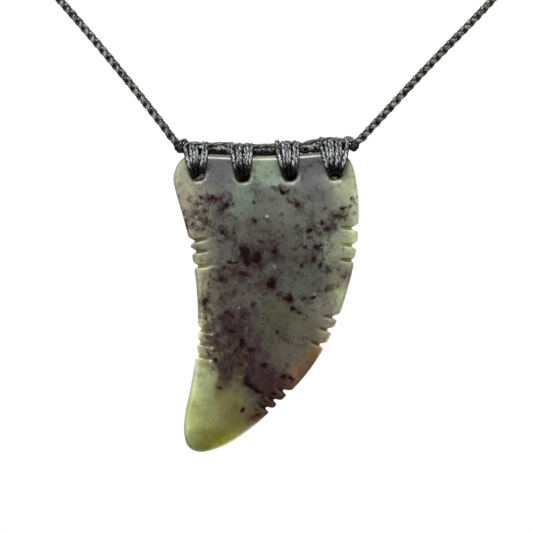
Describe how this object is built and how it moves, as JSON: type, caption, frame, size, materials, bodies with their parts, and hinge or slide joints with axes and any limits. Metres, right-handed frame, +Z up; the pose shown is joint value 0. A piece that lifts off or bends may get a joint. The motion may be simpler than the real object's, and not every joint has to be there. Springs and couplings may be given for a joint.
{
  "type": "greenstone tooth pendant necklace",
  "caption": "Flat carved greenstone tooth with notched rim, lashed through drilled holes to a plaited cord that loops round the neck.",
  "frame": {"origin": "the point where the clasp rests on the nape of the neck", "axes": "+Z up, +X to the viewer's right as the pendant is seen from the front, +Y from the front of the stone towards its back"},
  "size_m": [0.1386, 0.1271, 0.1747],
  "materials": {
    "greenstone": "polished",
    "waxed_cord": "satin",
    "lashing_thread": "satin",
    "clasp_metal": "satin"
  },
  "bodies": {
    "root": {"tooth": "greenstone", "neck_cord": "waxed_cord", "lashing_1": "lashing_thread", "lashing_2": "lashing_thread", "lashing_3": "lashing_thread", "lashing_4": "lashing_thread", "end_knot_left": "lashing_thread", "end_knot_right": "lashing_thread", "nape_clasp": "clasp_metal"}
  },
  "joints": []
}
